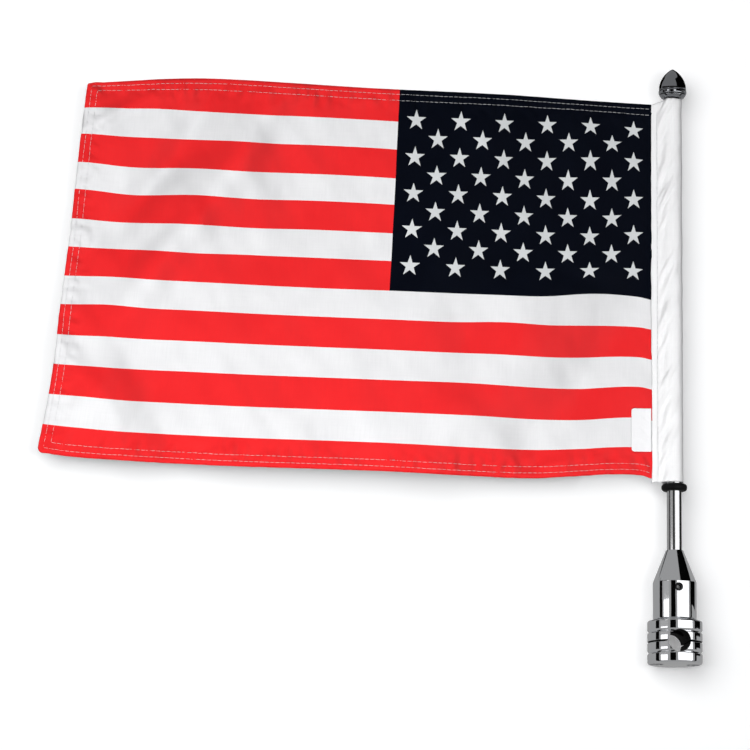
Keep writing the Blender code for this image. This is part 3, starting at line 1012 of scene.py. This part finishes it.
def stitched(name, runs, surface, width=HEM_THREAD):
    """Rows of stitches. A run is a path of flat points; surface places a point with its lift."""
    vertices, faces = [], []
    for path in runs:
        travelled = 0.0
        for (x0, y0), (x1, y1) in zip(path, path[1:]):
            length = math.hypot(x1 - x0, y1 - y0)
            count = max(1, round(length / STITCH_PITCH))
            for k in range(count):
                wobble = 0.10 * noise.noise(Vector((travelled + k, x0, y0)))
                spots = [
                    (
                        x0 + (x1 - x0) * s + wobble * (y1 - y0) / length,
                        y0 + (y1 - y0) * s - wobble * (x1 - x0) / length,
                    )
                    for s in ((k + at) / count for at in STITCH_ENDS)
                ]
                start, end = (surface(*spot, 0.0) for spot in spots)
                normal = surface(*spots[0], 1.0) - start
                stitch(vertices, faces, start, end, normal.normalized(), width)
            travelled += length
    made = mesh_object(name, vertices, faces, [THREAD])
    points = made.data.vertices
    unwrapped(made, lambda i: (points[i].co.x + points[i].co.y, points[i].co.z))
    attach(made, "flag")
    return made


def hem_runs():
    """Two rows along the upper edge, down the fly and back along the lower edge."""
    for inset in STITCH_ROWS:
        far = CLOTH_LONG - inset
        yield [(1.0, inset), (far, inset), (far, CLOTH_TALL - inset), (1.0, CLOTH_TALL - inset)]


def on_front(x, y, lift):
    return drape(x, y, CLOTH / 2 + 0.00015 + lift * MM)


def on_back(x, y, lift):
    return drape(x, y, -(1.5 * CLOTH + 0.00018) - lift * MM)


# ---------------------------------------------------------------- the sleeve
SLEEVE = ends("flag_sleeve")
SLEEVE_TALL = SLEEVE[1].z - SLEEVE[0].z
TAIL_X = SLEEVE[0].x
LAYER = 0.00075  # from the flag's middle to the middle of each layer of the sleeve
WRAP = POLE_RADIUS + SLEEVE_EASE + SLEEVE_WALL / 2
TAIL_STEPS, WRAP_STEPS, SLEEVE_ROWS = 40, 56, 170
SEAM = 3.4  # from the tail's edge, in millimetres
CUFF = 3.0  # from the sleeve's ends to the crown of its turned-in cuffs, in millimetres


def sleeve_section():
    """The sleeve's section from its front tail to its back tail: points, normals and travel."""
    touch = math.radians(90) + math.asin((WRAP - LAYER) / -TAIL_X) * 0.92
    front = []
    for k in range(TAIL_STEPS + 1):
        t = k / TAIL_STEPS
        ease = t * t * (3 - 2 * t)
        x = TAIL_X + (WRAP * math.cos(touch) - TAIL_X) * t
        y = -(LAYER + (WRAP * math.sin(touch) - LAYER) * (0.35 * t + 0.65 * ease))
        front.append(Vector((x, y)))
    around = [
        Vector((WRAP * math.cos(a), WRAP * math.sin(a)))
        for a in (-touch + 2 * touch * k / WRAP_STEPS for k in range(1, WRAP_STEPS))
    ]
    back = [Vector((p.x, -p.y)) for p in reversed(front)]
    path = front + around + back
    normals = []
    for i in range(len(path)):
        along = path[min(i + 1, len(path) - 1)] - path[max(i - 1, 0)]
        normals.append(Vector((along.y, -along.x)).normalized())
    travel = [0.0]
    for a, b in zip(path, path[1:]):
        travel.append(travel[-1] + (b - a).length)
    return path, normals, travel


SECTION, SECTION_NORMALS, SECTION_TRAVEL = sleeve_section()


def sleeve_relief(x, z, side):
    """How far the canvas stands off its section, in metres."""
    from_tail, height = (x - TAIL_X) / MM, z / MM
    free = min(1, max(0, (from_tail - 3.2) / 3.5))
    over_pole = min(1, max(0, (from_tail - 9.5) / 7))
    # slanting folds, which the pole draws flat
    slant = height - 1.9 * from_tail * side
    drawn = 2.5 * noise.noise(Vector((slant / 9.5, from_tail / 13, 2.2 + side)))
    fine = 0.8 * noise.noise(Vector((slant / 3.2, from_tail / 9, 6.4 + side)))
    broad = 0.9 * noise.noise(Vector((slant / 24, 0.3, 9.1 + side)))
    relief = free * ((1 - 0.92 * over_pole) * (drawn + fine) + (1 - 0.85 * over_pole) * broad)
    relief += 0.05 * noise.noise(Vector((from_tail / 2, height / 2.4, 3.3)))
    # the seam, and the hollow between it and the pole
    hollow = hump(from_tail - 6.4, 2.4)
    relief -= 0.30 * hump(from_tail - SEAM, 0.8) + 0.5 * hollow
    return max(relief, -0.2 - 1.1 * hollow) * MM


def sleeve_at(index, share):
    """A point of the sleeve's middle surface, at a share of its height."""
    point, normal = SECTION[index], SECTION_NORMALS[index]
    slope = min(1, max(0, -point.x - POLE_RADIUS) / (-TAIL_X - POLE_RADIUS))
    low = SLEEVE[0].z - 0.0004 * slope
    high = SLEEVE[1].z - SLEEVE_ABOVE * slope
    z = low + (high - low) * share
    side = 1 if index < len(SECTION) / 2 else -1
    frayed = 0.0
    if index in (0, len(SECTION) - 1):
        frayed = 0.45 * MM * noise.noise(Vector((z * 90, side, 1.1)))
    tall = SLEEVE_TALL / MM
    cuff = 0.12 * MM * sum(hump(end * tall - CUFF, CUFF) for end in (share, 1 - share))
    flat = point + normal * (sleeve_relief(point.x, z, side) + cuff)
    return Vector((flat.x + frayed, flat.y, z))


def sleeve():
    """One strip of canvas, from its front tail round the pole to its back tail."""
    count = len(SECTION)
    vertices, faces = grid(SLEEVE_ROWS, count - 1, lambda r, i: sleeve_at(i, r / SLEEVE_ROWS))
    made = mesh_object("sleeve_canvas", vertices, faces, [CANVAS])
    unwrapped(made, lambda i: (SECTION_TRAVEL[i % count], vertices[i].z))
    thickened(made, SLEEVE_WALL * 0.8)
    return stands_for(made, "flag_sleeve", "flag")


def sleeve_spot(x, z, lift, side):
    """A point for stitches on the sleeve's tail, in millimetres from its edge and its foot."""
    target = TAIL_X + x * MM
    half = len(SECTION) // 2
    index = min(range(half), key=lambda i: abs(SECTION[i].x - target))
    if side < 0:
        index = len(SECTION) - 1 - index
    normal = SECTION_NORMALS[index]
    off = SLEEVE_WALL * 0.4 + 0.00003 + lift * MM
    return sleeve_at(index, z * MM / SLEEVE_TALL) + Vector((normal.x, normal.y, 0)) * off


# ---------------------------------------------------------------- the tag
LABEL_CORNER = 0.0016
LABEL_WALL = 0.00022
LABEL_TUCK = 0.0003  # between its sewn edge and the sleeve's seam
LABEL_COLUMNS, LABEL_ROWS = 26, 48


def tag_at(row, column):
    """A point of the label: its corners rounded, its free edge curling off the cloth."""
    low, high = ends("flag_tag")
    wide, tall = high.x - low.x, high.z - low.z
    s, t = column / LABEL_COLUMNS, row / LABEL_ROWS
    cut = max(0, LABEL_CORNER - min(t, 1 - t) * tall)
    round_off = LABEL_CORNER - math.sqrt(LABEL_CORNER**2 - cut**2)
    x = high.x - LABEL_TUCK - (wide + LABEL_TUCK - round_off) * s
    z = low.z + tall * t
    flat_x, flat_y = (HOIST_X - x) / MM, (PANEL[1].z - 0.0035 - z) / MM
    around = ((flat_x + dx, flat_y + dy) for dx in (-2, 0, 2) for dy in (-2, 0, 2))
    behind = min(drape(max(px, 0), py).y for px, py in around)
    curl = 0.0003 + 0.0011 * s * s + 0.0003 * s * math.sin(3.0 * t + 0.6)
    ripple = 0.00008 * noise.noise(Vector((s * 2, t * 6, 0.4)))
    return Vector((x, behind - CLOTH / 2 - curl + ripple, z - 0.0004 * s))


def tag():
    """The blank label sewn into the seam."""
    vertices, faces = grid(LABEL_ROWS, LABEL_COLUMNS, tag_at)
    facing_front(vertices, faces)
    made = mesh_object("blank_label", vertices, faces, [LABEL])
    unwrapped(made, lambda i: (vertices[i].x, vertices[i].z))
    thickened(made, LABEL_WALL)
    return stands_for(made, "flag_tag", "flag")


cloth, hem = flag_cloth()
front_stitches = stitched("stitching_front", hem_runs(), on_front)
back_stitches = stitched("stitching_back", hem_runs(), on_back)
canvas = sleeve()
seam_run = [[(SEAM, z) for z in (4.0, SLEEVE_TALL / MM - 6.0)]]
seam_front, seam_back = (
    stitched(name, seam_run, lambda x, z, lift: sleeve_spot(x, z, lift, side), SEAM_THREAD)
    for name, side in (("seam_front", 1), ("seam_back", -1))
)
label = tag()
for piece in (cloth, hem):  # no red glow on the chrome or the backdrop
    piece.visible_glossy = False
    piece.visible_diffuse = False


# ---------------------------------------------------------------- camera
# It stands below the part and looks up, as the photograph does.
HEADING = math.radians(7.5788)  # from +Y towards +X
PITCH = math.radians(10.2494)
ROLL = math.radians(0.4489)
AIM = Vector((-0.19316, 0, 0.16662))
DISTANCE = 2.8129

camera_data = bpy.data.cameras.new("camera")
camera_data.lens = 212.6
camera_data.sensor_width = 36
camera = added("camera", camera_data)
turn = (
    Matrix.Rotation(-HEADING, 4, "Z")
    @ Matrix.Rotation(math.pi / 2 + PITCH, 4, "X")
    @ Matrix.Rotation(ROLL, 4, "Z")
)
forward = turn @ Vector((0, 0, -1))
camera.matrix_world = Matrix.Translation(AIM - forward * DISTANCE) @ turn
bpy.context.scene.camera = camera


# ---------------------------------------------------------------- studio
TO_CAMERA = math.atan2(camera.matrix_world.translation.x, -camera.matrix_world.translation.y)


def stage_material(name, colour, glow=0.0, one_sided=False):
    """A plain matt material of the studio, which may glow white and be clear from behind."""
    made = Finish(
        name,
        colour,
        0.9,
        Specular_IOR_Level=0.0,
        Emission_Color=(*((1, 1, 1) if glow else colour), 1),
        Emission_Strength=glow,
    )
    if one_sided:
        mix = made.node(
            "ShaderNodeMixShader",
            {
                "Fac": made.node("ShaderNodeNewGeometry").outputs["Backfacing"],
                1: made.shader.outputs["BSDF"],
                2: made.node("ShaderNodeBsdfTransparent").outputs["BSDF"],
            },
        )
        output = next(n for n in made.tree.nodes if n.type == "OUTPUT_MATERIAL")
        made.tree.links.new(mix.outputs["Shader"], output.inputs["Surface"])
    return made.material


def only(piece, camera=False, glossy=False, shadow=False):
    """Makes a piece seen by the given kinds of ray alone."""
    piece.visible_camera = camera
    piece.visible_diffuse = False
    piece.visible_glossy = glossy
    piece.visible_transmission = False
    piece.visible_volume_scatter = False
    piece.visible_shadow = shadow
    return piece


def card(name, start, end, low, high, radius, colour, glow):
    """An upright card curved round the pole. Its ends are degrees to the right of the camera."""
    vertices, faces = [], []
    steps = max(4, round(abs(end - start) / 4))
    for k in range(steps + 1):
        angle = math.radians(start + (end - start) * k / steps) + TO_CAMERA
        across = Vector((math.sin(angle), -math.cos(angle)))
        for z in (low, high):
            vertices.append((across.x * radius, across.y * radius, z))
        if k:
            faces.append([2 * k - 2, 2 * k, 2 * k + 1, 2 * k - 1])
    return mesh_object(name, vertices, faces, [stage_material(name, colour, glow)])


def plane(name, centre, across, up, colour, glow):
    centre, across, up = (Vector(v) for v in (centre, across, up))
    corners = [centre + across * i + up * j for i, j in ((-1, -1), (1, -1), (1, 1), (-1, 1))]
    material = stage_material(name, colour, glow, one_sided=True)
    return mesh_object(name, corners, [[0, 1, 2, 3]], [material], smooth=False)


def shell(name, radius, glow):
    """A glowing ball round everything."""
    ball = bmesh.new()
    bmesh.ops.create_icosphere(ball, subdivisions=4, radius=radius)
    mesh = bpy.data.meshes.new(name)
    ball.to_mesh(mesh)
    ball.free()
    mesh.materials.append(stage_material(name, (0, 0, 0), glow))
    return added(name, mesh)


PART_PIECES = [
    piece for piece in bpy.data.objects if piece.type == "MESH" and not piece.hide_render
]

# The backdrop stands just clear of the clamp, so that the flag throws a soft shadow on it.
WALL_Y = 0.0180
FLOOR_Z = -0.45
wall = plane(
    "backdrop", (-0.19, WALL_Y, 0.30), (0.9, 0, 0), (0, 0, 0.75), (0.88, 0.883, 0.89), 0.19
)
floor = plane("floor", (0, 0, FLOOR_Z), (6, 0, 0), (0, 6, 0), (0.90, 0.90, 0.91), 0.0)
only(wall, camera=True)
only(floor, camera=True, shadow=True)
only(shell("surround", 14, 1.0), camera=True)
only(shell("tent", 2.24, 0.34), glossy=True)

# What the chrome reflects: cards from one angle to another, from one height to another, at a
# radius, with their colour and glow.
WHITE_CARD = (1, 1, 1), 1.1
DARK_CARD = (0.004, 0.004, 0.004), 0.0
GREY_CARD = (0, 0, 0), 0.40
for name, *place, (colour, glow) in (
    ("light_right", 14, 79, FLOOR_Z, 0.62, 1.0, WHITE_CARD),
    ("light_left", -60, -30, FLOOR_Z, 0.62, 1.0, WHITE_CARD),
    ("dark_middle", -19, 5, -0.9, 0.62, 0.95, DARK_CARD),
    ("dark_left", -86, -68, -0.9, 0.62, 0.95, DARK_CARD),
    ("dark_right", 90, 102, -0.9, 0.62, 0.95, DARK_CARD),
    ("dark_far_right", 102, 132, 0.10, 0.42, 0.95, DARK_CARD),
    ("dark_band", -100, 178, 0.64, 0.72, 0.95, DARK_CARD),
    ("dark_high_right", 38, 178, 0.72, 7.0, 0.95, DARK_CARD),
    ("dark_over_right", 27, 82, 0.40, 0.64, 0.95, DARK_CARD),
    ("dark_over_left", -62, -44, 0.40, 0.64, 0.95, DARK_CARD),
    ("dark_high_left", -175, -112, 0.62, 1.3, 0.95, DARK_CARD),
    ("grey_left", -60, -30, 0.10, 0.42, 0.93, GREY_CARD),
):
    only(card(name, *place, colour, glow), glossy=True)


def lamp(name, place_at, size, power, target=AIM, only_on=()):
    """A round lamp, which may light nothing but the given pieces. Everything casts its shadow."""
    data = bpy.data.lights.new(name, "AREA")
    data.shape = "DISK"
    data.size = size
    data.energy = power
    made = added(name, data)
    made.location = place_at
    made.rotation_mode = "QUATERNION"
    made.rotation_quaternion = (target - Vector(place_at)).to_track_quat("-Z", "Y")
    made.visible_glossy = False
    made.visible_camera = False
    if only_on:
        lit = bpy.data.collections.new(name + "_lit")
        for piece in only_on:
            lit.objects.link(piece)
        made.light_linking.receiver_collection = lit


FRONT = (cloth, hem, front_stitches, label, canvas)
lamp("key", (-1.44, -2.1, 1.47), 0.55, 32, only_on=PART_PIECES)
lamp("soft", (-1.18, -2.4, 0.40), 2.5, 68, only_on=(wall, floor))
lamp("low", (-0.36, -0.72, -0.42), 0.5, 12.5, Vector((-0.20, 0, 0.08)), only_on=FRONT)
lamp("edge", (1.3, -1.5, 0.25), 0.4, 7, only_on=(canvas,))
lamp("fill", (0.45, -2.6, -0.10), 0.9, 14)
lamp("behind", (0.3, 2.2, 1.2), 1.2, 40)

world = bpy.data.worlds.new("studio")
bpy.context.scene.world = world
world.use_nodes = True
back = next(n for n in world.node_tree.nodes if n.type == "BACKGROUND")
back.inputs["Color"].default_value = (0.97, 0.98, 1.0, 1)
back.inputs["Strength"].default_value = 0.12
bpy.context.scene.view_settings.view_transform = "Standard"
